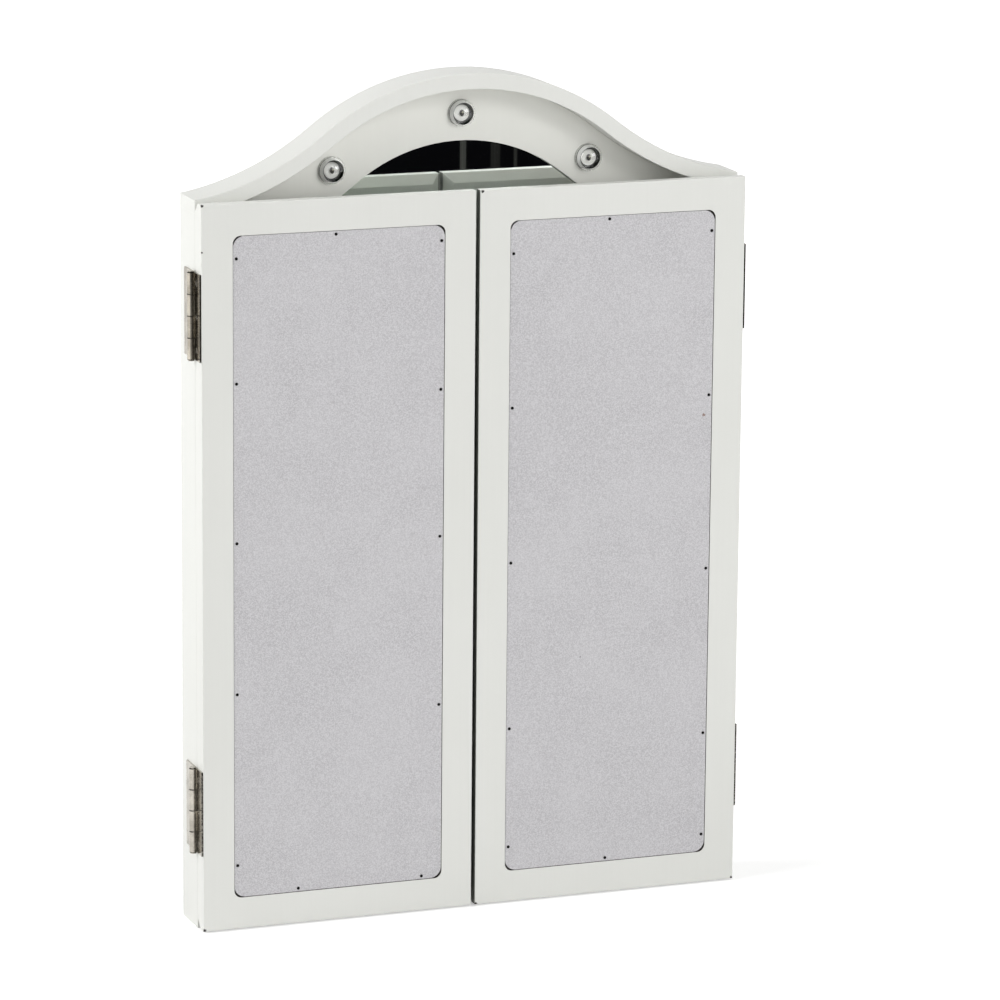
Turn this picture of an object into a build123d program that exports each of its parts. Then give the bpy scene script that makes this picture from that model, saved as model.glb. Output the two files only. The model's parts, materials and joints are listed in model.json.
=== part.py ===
from build123d import *
import math
import os

# A tabletop vanity mirror: a shallow lit case with a camelback crest and two mirrored wings
# that fold shut in front of it.  Front is -Y, up is +Z, and the origin is the middle of the
# footprint on the table.  All sizes are in millimetres.

# Case
case_width = 428.0
case_depth = 36.5
board_thickness = 12.0
crest_rise = 84.0
shoulder_run = 99.0
shoulder_rise = 44.0
shoulder_step = 1.0
edge_round = 0.6

# Light fascia and lamps
fascia_width = 41.5
fascia_thickness = 4.0
fascia_setback = 24.0
crest_lamp_x = 101.5
side_lamp_drop = 25.0
side_lamp_pitch = 112.0
side_lamp_count = 4
lens_radius = 10.3
lens_height = 11.5
lens_skirt = 3.0
lens_wall = 1.0
base_flange = 2.0
spigot_radius = 5.9
spigot_tail = 1.5
wire_bore = 3.0
led_disc_radius = 7.4
led_disc_thickness = 1.2
led_chip = 3.0
led_chip_height = 0.8
harness_radius = 1.0
harness_bend = 15.0

# Mirrors and back
mirror_thickness = 3.0
mirror_lap = 9.0
mirror_pad_size = 40.0
back_panel_thickness = 3.0
back_rebate = 6.0
cleat_width = 10.0
nail_pitch = 105.0
nail_head_radius = 1.8
nail_shank_radius = 0.8
nail_length = 14.0
nail_head_height = 1.0
crest_nail_x = 77.0
bottom_nail_x = 107.0

# Dowels
dowel_radius = 3.0
dowel_length = 22.0
dowel_end_play = 0.5
dowel_spread = 18.0
dowel_cover = 4.0
dowel_rise = 6.0

# Wings
wing_height = 550.0
wing_thickness = 15.0
wing_lift = 1.5
closing_gap = 0.5
meeting_gap = 3.2
wing_chamfer = 7.0
frame_margin = 24.0
board_recess = 0.5
backing_thickness = 3.0
brad_ledge = 6.5
sight_lip = 5.0
pocket_corner = 6.0
board_corner = 8.5
board_clearance = 0.4
brad_inset = 2.8
brad_head_radius = 1.15
brad_head_height = 0.5
brad_shank_radius = 0.6
brad_length = 9.0

# Brads along the pocket's sides, top and bottom, measured in mm from the wing's free edge and
# its bottom on a wing of the measured size; they were driven by hand, so they are uneven
near_brads = {"left": (160, 290, 402, 514), "right": (43, 136, 265, 384, 501)}
far_brads = {"left": (49, 181, 296, 416, 509), "right": (38, 119, 249, 384, 510)}
top_brads = {"left": (109,), "right": (103,)}
bottom_brads = {"left": (40, 138), "right": (106,)}
measured_width = 212.4
measured_height = 550.0

# Hinges
hinge_height = 65.0
hinge_above_bottom = 91.0
hinge_below_top = 84.0
leaf_thickness = 1.2
leaf_edge_margin = 0.3
case_leaf_width = 23.5
knuckle_count = 4
knuckle_radius = 3.0
knuckle_play = 0.15
knuckle_gap = 0.2
pin_radius = 1.5
pin_clearance = 0.05
pin_head_radius = 2.4
pin_head_height = 0.8
leaf_notch = 0.35
hinge_screw_pitch = 25.0
leaf_corner = 0.5
wing_screw_inset = 3.4
screw_cover = 2.2
screw_hole_run = 1.0
screw_head_radius = 2.5
screw_shank_radius = 1.4
screw_head_height = 1.0
screw_tip = 0.2
recess_width = 0.7
recess_length = 2.8
recess_depth = 0.6

# Power inlet
power_inset = 84.0
power_lift = 0.7
power_width = 56.0
power_height = 17.0
power_wall = 1.6
power_flange = 2.0
power_board_thickness = 1.2
socket_radius = 4.2
socket_bore_radius = 2.8
socket_pin_radius = 1.0
socket_pin_drop = 0.5
socket_x = -14.0
button_x = 12.0
button_radius = 4.0
button_travel = 1.5
button_height = 3.0
button_round = 0.6
switch_size = 7.0

# Clearances
seat_clearance = 0.1
slide_clearance = 0.25

# Places worked out from the sizes
total_depth = wing_thickness + closing_gap + case_depth
y_wing = -total_depth / 2
y_wing_rear = y_wing + wing_thickness
y_case = y_wing_rear + closing_gap
y_back = total_depth / 2
y_fascia = y_case + fascia_setback
y_fascia_rear = y_fascia + fascia_thickness
y_panel = y_back - back_panel_thickness
half_width = case_width / 2
wing_top = wing_lift + wing_height
wing_width = (case_width - meeting_gap) / 2
inner_half = half_width - board_thickness
opening_offset = board_thickness + fascia_width
lamp_offset = board_thickness + fascia_width / 2

# Camelback curve: a crown arc and a shoulder arc that meet in one tangent line
shoulder_height = wing_top + shoulder_step
crest_top = shoulder_height + crest_rise
crown_half = half_width - shoulder_run
crown_drop = crest_rise - shoulder_rise
crown_radius = (crown_half ** 2 + crown_drop ** 2) / (2 * crown_drop)
crown_angle = math.asin(crown_half / crown_radius)
shoulder_angle = math.atan2(shoulder_rise, shoulder_run)
shoulder_chord = math.hypot(shoulder_rise, shoulder_run)
shoulder_radius = shoulder_chord / (2 * math.sin(crown_angle - shoulder_angle))
crown_z = crest_top - crown_radius
shoulder_x = crown_half + shoulder_radius * math.sin(crown_angle)
shoulder_z = crest_top - crown_drop + shoulder_radius * math.cos(crown_angle)

back = (0, 1, 0)
front = (0, -1, 0)


# Height of the camelback curve, moved inwards by offset, at a distance x from the middle
def arch_height(x, offset):
    x = abs(x)
    if x <= (crown_radius - offset) * math.sin(crown_angle):
        return crown_z + math.sqrt((crown_radius - offset) ** 2 - x ** 2)
    return shoulder_z - math.sqrt((shoulder_radius + offset) ** 2 - (shoulder_x - x) ** 2)


# A plate with the case's outline moved inwards by offset, from y towards the back
def arched_plate(offset, bottom, y, thickness):
    half = half_width - offset
    bend = (crown_radius - offset) * math.sin(crown_angle)
    middle = (half + bend) / 2

    def point(x):
        return (x, y, arch_height(x, offset))

    edges = [
        Line((-half, y, bottom), (half, y, bottom)),
        Line((half, y, bottom), point(half)),
        ThreePointArc(point(half), point(middle), point(bend)),
        ThreePointArc(point(bend), point(0), point(-bend)),
        ThreePointArc(point(-bend), point(-middle), point(-half)),
        Line(point(-half), (-half, y, bottom)),
    ]
    return extrude(Face(Wire(edges)), amount=thickness, dir=back)


# A block from its lowest corner to its highest
def block(low, high):
    size = [b - a for a, b in zip(low, high)]
    middle = [(a + b) / 2 for a, b in zip(low, high)]
    return Pos(*middle) * Box(*size)


# A round bar that starts at a point and runs along a direction
def rod(start, direction, radius, length):
    plane = Plane(origin=start, z_dir=direction)
    return plane.location * Cylinder(radius, length, align=(Align.CENTER, Align.CENTER, Align.MIN))


def both_sides(shape):
    return [shape, mirror(shape, about=Plane.YZ)]


def cut(shape, tools):
    for tool in tools:
        shape = shape - tool
    return shape


# A turned profile of radius and height pairs, its axis along a direction
def turned(profile, start, direction):
    face = Plane.XZ * make_face(Polyline(*profile, close=True))
    return Plane(origin=start, z_dir=direction).location * revolve(face, Axis.Z)


# A countersunk cross-head screw, its head's face at start, driven against direction
def screw(start, direction, length):
    profile = [
        (0, 0),
        (screw_head_radius, 0),
        (screw_shank_radius, -screw_head_height),
        (screw_shank_radius, -length + screw_shank_radius),
        (screw_tip, -length),
        (0, -length),
    ]
    slot = Box(recess_length, recess_width, 2 * recess_depth)
    recess = slot + Rot(0, 0, 90) * slot
    return turned(profile, start, direction) - Plane(origin=start, z_dir=direction).location * recess


# The hole a screw goes in, with its countersink
def screw_hole(start, direction, length):
    gap = pin_clearance
    profile = [
        (0, gap),
        (screw_head_radius + 2 * gap, gap),
        (screw_head_radius + gap, 0),
        (screw_shank_radius + gap, -screw_head_height),
        (screw_shank_radius + gap, -length - screw_hole_run),
        (0, -length - screw_hole_run),
    ]
    return turned(profile, start, direction)


# Nail with a flat head whose face is at start, driven against direction
def nail(start, direction, head_radius, head_height, shank_radius, length, gap=0.0):
    profile = [
        (0, 0),
        (head_radius + gap, 0),
        (head_radius + gap, -head_height),
        (shank_radius + gap, -head_height),
        (shank_radius + gap, -length - gap),
        (0, -length - gap),
    ]
    return turned(profile, start, direction)


# Lamps, numbered from the lower left, over the crest, to the lower right
def lamp_places():
    side_x = half_width - lamp_offset
    top = arch_height(side_x, lamp_offset) - side_lamp_drop
    left = [(-side_x, top - side_lamp_pitch * n) for n in reversed(range(side_lamp_count))]
    crest = [(x, arch_height(x, lamp_offset)) for x in (-crest_lamp_x, 0, crest_lamp_x)]
    right = [(-x, z) for x, z in reversed(left)]
    return left + crest + right


# Dome on a short skirt, moved inwards by inset
def lens_dome(inset):
    rise = lens_height - lens_skirt
    ball = (lens_radius ** 2 + rise ** 2) / (2 * rise)
    skirt = rod((0, 0, 0), (0, 0, 1), lens_radius - inset, lens_height)
    return skirt & Pos(0, 0, lens_height - ball) * Sphere(ball - inset)


def lamp_lens(x, z):
    lens = lens_dome(0) - lens_dome(lens_wall)
    return Plane(origin=(x, y_fascia, z), z_dir=front).location * lens


# White lamp base with a seat for the LED disc, a spigot through the fascia and a wire bore
def lamp_base(x, z):
    flange = lens_radius - lens_wall - seat_clearance
    tail = -fascia_thickness - spigot_tail
    profile = [
        (wire_bore, tail),
        (spigot_radius, tail),
        (spigot_radius, 0),
        (flange, 0),
        (flange, base_flange),
        (led_disc_radius + seat_clearance, base_flange),
        (led_disc_radius + seat_clearance, base_flange - led_disc_thickness),
        (wire_bore, base_flange - led_disc_thickness),
    ]
    return turned(profile, (x, y_fascia, z), front)


def led_disc(x, z):
    seat = y_fascia - base_flange + led_disc_thickness
    disc = rod((x, seat, z), front, led_disc_radius, led_disc_thickness)
    half = led_chip / 2
    face = seat - led_disc_thickness
    return disc + block((x - half, face - led_chip_height, z - half), (x + half, face + 0.1, z + half))


# Wiring that runs from lamp to lamp behind the fascia and ends at the power box
def light_harness():
    places = lamp_places()
    y = y_fascia_rear + spigot_tail + harness_radius
    side_x = half_width - lamp_offset
    top = arch_height(side_x, lamp_offset)
    crest = places[side_lamp_count:side_lamp_count + 3]
    end = [(side_x, power_z), (power_x + power_width / 2, power_z)]
    stops = [places[0], (-side_x, top)] + crest + [(side_x, top)] + end
    points = [(x, y, z) for x, z in stops]
    path = FilletPolyline(*points, radius=harness_bend)
    section = Plane(origin=path @ 0, z_dir=path % 0) * Circle(harness_radius)
    return sweep(section, path=path)


# Case boards: one outline, parted into crest, sides and bottom
crest_joint = arch_height(inner_half, board_thickness)


def case_ring():
    ring = arched_plate(0, 0, y_case, case_depth)
    ring -= arched_plate(board_thickness, board_thickness, y_case - 1, case_depth + 2)
    ring = fillet([e for e in ring.edges() if abs(e.center().Y - y_case) < 0.01], edge_round)
    rebate = board_thickness - back_rebate
    return ring - arched_plate(rebate, rebate, y_panel, back_panel_thickness + 1)


def nail_places():
    offset = board_thickness - back_rebate / 2
    x = half_width - offset
    top = arch_height(x, offset)
    rows = max(2, int((top - offset) // nail_pitch))
    low = offset + nail_pitch / 4
    heights = [low + (top - low - nail_pitch / 4) * n / (rows - 1) for n in range(rows)]
    sides = [(s * x, z) for s in (-1, 1) for z in heights]
    bottom = [(n * bottom_nail_x, offset) for n in (-1, 0, 1)]
    crest = [(n * crest_nail_x, arch_height(n * crest_nail_x, offset)) for n in (-2, -1, 0, 1, 2)]
    return sides + bottom + crest


def back_nail(x, z, gap=0.0):
    return nail((x, y_back, z), back, nail_head_radius, nail_head_height, nail_shank_radius, nail_length, gap)


# Dowels: two across each lower corner and two up into each end of the crest
def dowel_places():
    middle = (y_case + y_panel) / 2
    places = []
    for s in (-1, 1):
        for y in (middle - dowel_spread / 2, middle + dowel_spread / 2):
            places.append(((s * (half_width - dowel_cover), y, board_thickness / 2), (-s, 0, 0)))
            high = crest_joint + dowel_rise - dowel_length
            places.append(((s * (half_width - board_thickness / 2), y, high), (0, 0, 1)))
    return places


def dowel(start, direction):
    return rod(start, direction, dowel_radius, dowel_length)


def dowel_hole(start, direction):
    begin = [a - b * dowel_end_play for a, b in zip(start, direction)]
    return rod(begin, direction, dowel_radius + pin_clearance, dowel_length + 2 * dowel_end_play)


# Hinge places: the left side's are the right side's mirrored
def hinge_centres():
    return {"lower": wing_lift + hinge_above_bottom, "upper": wing_top - hinge_below_top}


pin_x = half_width + knuckle_radius + knuckle_gap
pin_y = y_case - closing_gap / 2
case_plate_y = pin_y + knuckle_radius + leaf_notch
wing_plate_y = pin_y - knuckle_radius - leaf_notch
case_screw_y = (case_plate_y + pin_y + case_leaf_width) / 2
wing_screw_y = wing_plate_y - wing_screw_inset
hinge_screw_length = leaf_thickness + board_thickness - screw_cover


def hinge_screws(centre, y, gap=False):
    make = screw_hole if gap else screw
    face = half_width + leaf_thickness
    heights = [centre + n * hinge_screw_pitch for n in (-1, 0, 1)]
    return [make((face, y, z), (1, 0, 0), hinge_screw_length) for z in heights]


# A hinge leaf on the right side: a plate, its knuckles and the tabs that join them
def hinge_leaf(centre, plate_near, plate_far, screw_y, first_knuckle):
    low = centre - hinge_height / 2
    face = half_width
    plate = sorted((plate_near, plate_far))
    tab = sorted((plate_near, pin_y))
    leaf = block((face, plate[0], low), (face + leaf_thickness, plate[1], low + hinge_height))
    corners = leaf.edges().filter_by(Axis.X).sort_by(lambda e: abs(e.center().Y - pin_y))
    leaf = fillet(corners[-2:], leaf_corner)
    step = hinge_height / knuckle_count
    for n in range(first_knuckle, knuckle_count, 2):
        z0 = low + n * step + knuckle_play / 2
        z1 = low + (n + 1) * step - knuckle_play / 2
        leaf += rod((pin_x, pin_y, z0), (0, 0, 1), knuckle_radius, z1 - z0)
        leaf += block((face, tab[0], z0), (face + leaf_thickness, tab[1], z1))
    leaf -= rod((pin_x, pin_y, low - 1), (0, 0, 1), pin_radius + pin_clearance, hinge_height + 2)
    return cut(leaf, hinge_screws(centre, screw_y, gap=True))


def case_leaf(centre):
    return hinge_leaf(centre, case_plate_y, pin_y + case_leaf_width, case_screw_y, 0)


def wing_leaf(centre):
    return hinge_leaf(centre, wing_plate_y, y_wing + leaf_edge_margin, wing_screw_y, 1)


# Headed pin, its upper head a closed button and its lower end a peened one
def hinge_pin(centre):
    low = centre - hinge_height / 2 - pin_clearance
    high = centre + hinge_height / 2 + pin_clearance
    pin = rod((pin_x, pin_y, low), (0, 0, 1), pin_radius, high - low)
    pin += rod((pin_x, pin_y, high), (0, 0, 1), pin_head_radius, pin_head_height)
    return pin + rod((pin_x, pin_y, low - pin_head_height), (0, 0, 1), pin_head_radius, pin_head_height)


# Wings: drawn on the right and mirrored for the left
wing_in = half_width - wing_width
wing_out = half_width
y_ledge = y_wing + board_recess + backing_thickness
y_glass = y_ledge + mirror_thickness + 2 * seat_clearance


# A rounded slab inset from the wing's outline
def wing_panel(inset, corner, y0, y1):
    panel = block((wing_in + inset, y0, wing_lift + inset), (wing_out - inset, y1, wing_top - inset))
    return fillet(panel.edges().filter_by(Axis.Y), corner)


def wing_frame(brads):
    frame = block((wing_in, y_wing, wing_lift), (wing_out, y_wing_rear, wing_top))
    rear = [e for e in frame.edges() if abs(e.center().Y - y_wing_rear) < 0.01]
    frame = chamfer([e for e in rear if e.center().X < wing_out - 1], wing_chamfer)
    frame = fillet([e for e in frame.edges() if abs(e.center().Y - y_wing) < 0.01], edge_round)
    tools = [
        wing_panel(frame_margin, pocket_corner, y_wing - 1, y_ledge),
        wing_panel(frame_margin + brad_ledge, pocket_corner / 2, y_ledge - 1, y_glass),
        wing_panel(frame_margin + brad_ledge + sight_lip, pocket_corner / 2, y_glass - 1, y_wing_rear + 1),
    ]
    for centre in hinge_centres().values():
        tools += hinge_screws(centre, wing_screw_y, gap=True)
    tools += [brad(x, z, pin_clearance) for x, z in brads]
    return cut(frame, tools)


def wing_glass():
    inset = frame_margin + brad_ledge + seat_clearance
    return wing_panel(inset, pocket_corner / 2, y_glass - mirror_thickness, y_glass)


def brad(x, z, gap=0.0):
    y = y_wing + board_recess - brad_head_height / 2
    return nail((x, y, z), front, brad_head_radius, brad_head_height, brad_shank_radius, brad_length, gap)


def backing_board(brads):
    board = wing_panel(frame_margin + board_clearance, board_corner, y_wing + board_recess, y_ledge)
    return cut(board, [brad(x, z, pin_clearance) for x, z in brads])


def brad_places(side):
    inset = frame_margin + brad_inset
    across = wing_width / measured_width
    up = wing_height / measured_height
    near = [(wing_in + inset, wing_lift + z * up) for z in near_brads[side]]
    far = [(wing_out - inset, wing_lift + z * up) for z in far_brads[side]]
    top = [(wing_in + x * across, wing_top - inset) for x in top_brads[side]]
    bottom = [(wing_in + x * across, wing_lift + inset) for x in bottom_brads[side]]
    return near + far + top + bottom


# Power box let into the back: a moulded tub, a board, a socket and a push switch
power_x = half_width - power_inset
power_z = board_thickness + cleat_width + power_lift + power_flange + power_height / 2
y_power = y_fascia_rear + seat_clearance
y_power_face = y_back - power_wall
power_low = (power_x - power_width / 2, power_z - power_height / 2)
power_high = (power_x + power_width / 2, power_z + power_height / 2)


def power_block(grow, y0, y1):
    low = (power_low[0] - grow, y0, power_low[1] - grow)
    return block(low, (power_high[0] + grow, y1, power_high[1] + grow))


def power_box():
    tub = power_block(0, y_power, y_back)
    tub += power_block(power_flange, y_panel - power_wall - seat_clearance, y_panel - seat_clearance)
    tub -= power_block(-power_wall, y_power - 1, y_power_face)
    holes = {socket_x: socket_radius + seat_clearance, button_x: button_radius + slide_clearance}
    for x, radius in holes.items():
        tub -= rod((power_x + x, y_back + 1, power_z), front, radius, power_wall + 2)
    return tub


def power_board():
    inset = power_wall + seat_clearance
    return power_block(-inset, y_power, y_power + power_board_thickness)


def power_socket():
    start = y_power + power_board_thickness
    x = power_x + socket_x
    barrel = rod((x, start, power_z), back, socket_radius, y_back - start)
    barrel -= rod((x, start + power_wall, power_z), back, socket_bore_radius, y_back - start)
    return barrel + rod((x, start, power_z), back, socket_pin_radius, y_back - start - socket_pin_drop)


y_button = y_back - button_height


def power_switch():
    half = switch_size / 2
    top = y_button - button_travel - slide_clearance
    x = power_x + button_x
    return block((x - half, y_power + power_board_thickness, power_z - half), (x + half, top, power_z + half))


def power_button():
    cap = rod((power_x + button_x, y_back, power_z), front, button_radius, button_height)
    return fillet(cap.edges().filter_by(GeomType.CIRCLE).sort_by(Axis.Y)[-1], button_round)


# Fascia, cleats, mirror, pads and back panel inside the case
def light_fascia():
    edge = board_thickness + seat_clearance
    fascia = arched_plate(edge, edge, y_fascia, fascia_thickness)
    fascia -= arched_plate(opening_offset, opening_offset, y_fascia - 1, fascia_thickness + 2)
    holes = [rod((x, y_fascia - 1, z), back, spigot_radius + seat_clearance, fascia_thickness + 2)
             for x, z in lamp_places()]
    return cut(fascia, holes)


def side_cleat():
    inner = inner_half - seat_clearance
    low = (inner - cleat_width, y_fascia_rear, board_thickness + cleat_width + seat_clearance)
    top = arch_height(inner, board_thickness) - cleat_width
    return block(low, (inner, y_panel, top))


def bottom_cleat():
    inner = inner_half - seat_clearance
    low = (-inner, y_fascia_rear, board_thickness)
    return block(low, (inner, y_panel, board_thickness + cleat_width))


def centre_mirror():
    edge = opening_offset - mirror_lap
    return arched_plate(edge, edge, y_fascia_rear, mirror_thickness)


def mirror_pads():
    low = y_fascia_rear + mirror_thickness
    side = half_width - opening_offset - mirror_pad_size
    top = shoulder_height - opening_offset - mirror_pad_size
    pads = []
    for x in (-side, 0, side):
        for z in (opening_offset + mirror_pad_size / 2, (opening_offset + top) / 2, top):
            half = mirror_pad_size / 2
            pads.append(block((x - half, low, z - half), (x + half, y_panel - seat_clearance, z + half)))
    return pads


def back_panel():
    edge = board_thickness - back_rebate + seat_clearance
    panel = arched_plate(edge, edge, y_panel, back_panel_thickness)
    panel -= power_block(seat_clearance, y_panel - 1, y_back + 1)
    return cut(panel, [back_nail(x, z, pin_clearance) for x, z in nail_places()])


# Assembly
nodes = {}

ring = cut(case_ring(), [back_nail(x, z, pin_clearance) for x, z in nail_places()])
ring = cut(ring, [dowel_hole(start, way) for start, way in dowel_places()])
for centre in hinge_centres().values():
    for hole in hinge_screws(centre, case_screw_y, gap=True):
        ring = cut(ring, both_sides(hole))
nodes["crest_rail"] = [ring & block((-half_width, y_case, crest_joint), (half_width, y_back, crest_top))]
nodes["case_side_left"] = [ring & block((-half_width, y_case, 0), (-inner_half, y_back, crest_joint))]
nodes["case_side_right"] = [ring & block((inner_half, y_case, 0), (half_width, y_back, crest_joint))]
nodes["case_bottom"] = [ring & block((-inner_half, y_case, 0), (inner_half, y_back, board_thickness))]
nodes["case_dowels"] = [dowel(start, way) for start, way in dowel_places()]
nodes["light_fascia"] = [light_fascia()]
nodes["fascia_cleat_right"], nodes["fascia_cleat_left"] = [[cleat] for cleat in both_sides(side_cleat())]
nodes["fascia_cleat_bottom"] = [bottom_cleat()]
nodes["centre_mirror"] = [centre_mirror()]
nodes["mirror_pads"] = mirror_pads()
nodes["back_panel"] = [back_panel()]
nodes["back_panel_nails"] = [back_nail(x, z) for x, z in nail_places()]

for number, (x, z) in enumerate(lamp_places(), start=1):
    nodes["lamp_lens_%02d" % number] = [lamp_lens(x, z)]
nodes["lamp_bases"] = [lamp_base(x, z) for x, z in lamp_places()]
nodes["led_discs"] = [led_disc(x, z) for x, z in lamp_places()]
nodes["light_harness"] = [light_harness()]

nodes["power_box"] = [power_box()]
nodes["power_board"] = [power_board()]
nodes["power_socket"] = [power_socket()]
nodes["power_switch"] = [power_switch()]
nodes["power_button"] = [power_button()]


# The right side's shape, or its mirror image for the left side
def placed(shape, side):
    return mirror(shape, about=Plane.YZ) if side == "left" else shape


case_screws = []
for side in ("left", "right"):
    brads = brad_places(side)
    pieces = {"frame": [wing_frame(brads)], "glass": [wing_glass()], "backing": [backing_board(brads)]}
    pieces["brads"] = [brad(x, z) for x, z in brads]
    wing_screws = []
    for level, centre in hinge_centres().items():
        pieces[level + "_leaf"] = [wing_leaf(centre)]
        wing_screws += hinge_screws(centre, wing_screw_y)
    pieces["hinge_screws"] = wing_screws
    for name, solids in pieces.items():
        nodes["%s_wing_%s" % (side, name)] = [placed(solid, side) for solid in solids]
    for level, centre in hinge_centres().items():
        fixed = {"case_leaf": case_leaf(centre), "pin": hinge_pin(centre)}
        for name, solid in fixed.items():
            nodes["%s_%s_%s" % (side, level, name)] = [placed(solid, side)]
        case_screws += [placed(solid, side) for solid in hinge_screws(centre, case_screw_y)]
nodes["case_hinge_screws"] = case_screws

os.makedirs("parts", exist_ok=True)
for name, solids in nodes.items():
    whole = [solid for shape in solids for solid in shape.solids()]
    export_step(Compound(children=whole) if len(whole) > 1 else whole[0], "parts/%s.step" % name)
print(len(nodes), "nodes")
print("total height %.1f, depth %.1f, hinge pin at x %.2f y %.2f" % (crest_top, total_depth, pin_x, pin_y))
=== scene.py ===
import json
import math
import bpy
from mathutils import Euler, Matrix, Vector


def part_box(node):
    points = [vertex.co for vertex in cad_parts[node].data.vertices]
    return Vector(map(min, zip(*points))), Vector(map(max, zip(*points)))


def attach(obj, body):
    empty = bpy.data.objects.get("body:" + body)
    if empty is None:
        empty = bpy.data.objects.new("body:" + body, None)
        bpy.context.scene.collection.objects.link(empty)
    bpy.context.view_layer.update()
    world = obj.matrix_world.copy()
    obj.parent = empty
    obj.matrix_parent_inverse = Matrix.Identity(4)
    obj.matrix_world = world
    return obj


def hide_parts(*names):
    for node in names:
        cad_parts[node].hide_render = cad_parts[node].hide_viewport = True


# A folding vanity mirror in off-white paint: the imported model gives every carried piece, and
# this script adds the lamps' insides, the mirrors' silvering and the finish of each surface.

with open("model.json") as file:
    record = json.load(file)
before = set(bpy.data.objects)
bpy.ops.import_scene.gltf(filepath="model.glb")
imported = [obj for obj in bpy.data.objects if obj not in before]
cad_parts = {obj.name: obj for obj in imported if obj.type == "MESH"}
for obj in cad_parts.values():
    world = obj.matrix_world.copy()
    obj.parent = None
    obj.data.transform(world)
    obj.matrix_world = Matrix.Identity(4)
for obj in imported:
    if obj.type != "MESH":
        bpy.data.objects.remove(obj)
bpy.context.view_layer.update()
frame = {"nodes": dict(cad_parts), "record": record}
MM = 0.001
KNUCKLES = 4
HALF_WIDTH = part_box("case_side_right")[1].x

# The camera that matches the photograph, in metres and degrees
CAMERA_PLACE = (-1.3367, -3.6522, 1.2019)
CAMERA_TURN = 20.50
CAMERA_DOWN = 12.89
CAMERA_ROLL = 0.51
CAMERA_LENS = 190.96
SENSOR_WIDTH = 36.0

# Finishes, as linear colours
PAINT = (0.788, 0.793, 0.757)
PAINT_DULL = (0.722, 0.727, 0.688)
FASCIA_PAINT = (0.820, 0.822, 0.775)
FASCIA_DULL = (0.765, 0.765, 0.712)
# Paler tone for the painted highlight along the paint's edges
EDGE_HIGHLIGHT_TONE = (0.930, 0.930, 0.900)
BARE_FIBRE = (0.012, 0.008, 0.007)
# A wing's board pocket: bare fibre, darkened further as painted shade in the gap round the board
POCKET_FIBRE_AND_SHADE = (0.050, 0.038, 0.032)
# Painted shade on the wings' meeting edges, so that the gap between the wings reads dark
MEETING_GAP_SHADE = (0.160, 0.170, 0.150)
BOARD = (0.470, 0.460, 0.478)
BOARD_LIGHT = (0.680, 0.672, 0.688)
BOARD_FLECK = (0.450, 0.425, 0.450)
RUST_SPECK = (0.210, 0.090, 0.050)
DARK_DOT = (0.100, 0.080, 0.090)
SOFTWOOD = (0.620, 0.440, 0.250)
SOFTWOOD_DARK = (0.450, 0.290, 0.150)
NICKEL = (0.520, 0.492, 0.435)
NICKEL_DARK = (0.260, 0.238, 0.202)
BRONZE = (0.400, 0.368, 0.310)
BRONZE_DARK = (0.150, 0.132, 0.106)
# Painted shade in a hinge's knuckle joints, at its barrel's root and along its leaf's front edge
HINGE_JOINT_SHADE = (0.012, 0.010, 0.009)
DARK_STEEL = (0.010, 0.009, 0.009)
DARK_STEEL_WORN = (0.030, 0.028, 0.028)
NAIL_STEEL = (0.330, 0.320, 0.310)
SILVER = (0.870, 0.890, 0.870)
SILVER_CLOUD = (0.830, 0.875, 0.840)
GLASS = (0.970, 0.985, 0.970)
LENS = (0.985, 0.990, 0.985)
# Near-black lamp lining: a painted reflection of the dark surroundings in the clear dome
LINING_DARK_REFLECTION = (0.014, 0.014, 0.013)
LAMP_WHITE = (0.820, 0.820, 0.790)
CUP_WHITE = (0.880, 0.880, 0.860)
LAMP_DISC = (0.840, 0.835, 0.800)
CHIP = (0.050, 0.047, 0.042)
RESIN = (0.620, 0.590, 0.450)
CABLE = (0.720, 0.720, 0.690)
FOAM = (0.090, 0.090, 0.095)
BLACK_PLASTIC = (0.020, 0.020, 0.021)
BUTTON_GREY = (0.420, 0.420, 0.415)
CIRCUIT = (0.020, 0.120, 0.045)
FLOOR = (0.900, 0.900, 0.895)
FLOOR_CLOUD = (0.885, 0.885, 0.880)
DARK_CLOTH = (0.004, 0.004, 0.005)
PALE_FOOT = (1.250, 1.250, 1.250)
PURE_WHITE = (1.0, 1.0, 1.0, 1.0)

# Lamp insides, from the middle of a dome's back: the two round walls as pairs of radius and height
# in millimetres, then the disc with its ridges, the chip on it and the resin beside the chip
CUP_PROFILE = ((9.15, 2.15), (9.08, 3.0), (8.80, 4.0), (8.40, 5.0), (7.88, 6.0))
LINING_PROFILE = ((6.25, 1.60), (7.35, 2.25), (8.95, 2.25), (8.86, 3.0), (8.58, 4.0), (8.18, 5.0),
                  (7.66, 6.0))
CUP_WALL = 0.16 * MM
LINING_WALL = 0.15 * MM
DISC_RADIUS = 6.1 * MM
DISC_BACK = -0.85 * MM
DISC_THICKNESS = 0.95 * MM
DISC_RIDGES = 4
RIDGE_HEIGHT = 0.10 * MM
RIDGE_RISE = 0.35 * MM
RIDGE_FALL = 0.45 * MM
DISC_MIDDLE = [(0.5 * MM, 0.1 * MM), (0.5 * MM, -0.25 * MM)]
LED_RADIUS = 1.5 * MM
LED_BACK = -1.6 * MM
LED_HEIGHT = 1.5 * MM
LED_TOP = [(0.4 * MM, 0.3 * MM)]
LED_STRETCH = 1.7
RESIN_RADIUS = 0.8 * MM
RESIN_PLACE = (0.35 * MM, -3.3 * MM, 0.7 * MM)

# Silver coat: how far inside the glass's back face it starts, and its thickness
SILVER_SET_IN = 0.06 * MM
SILVER_THICKNESS = 0.04 * MM

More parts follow.
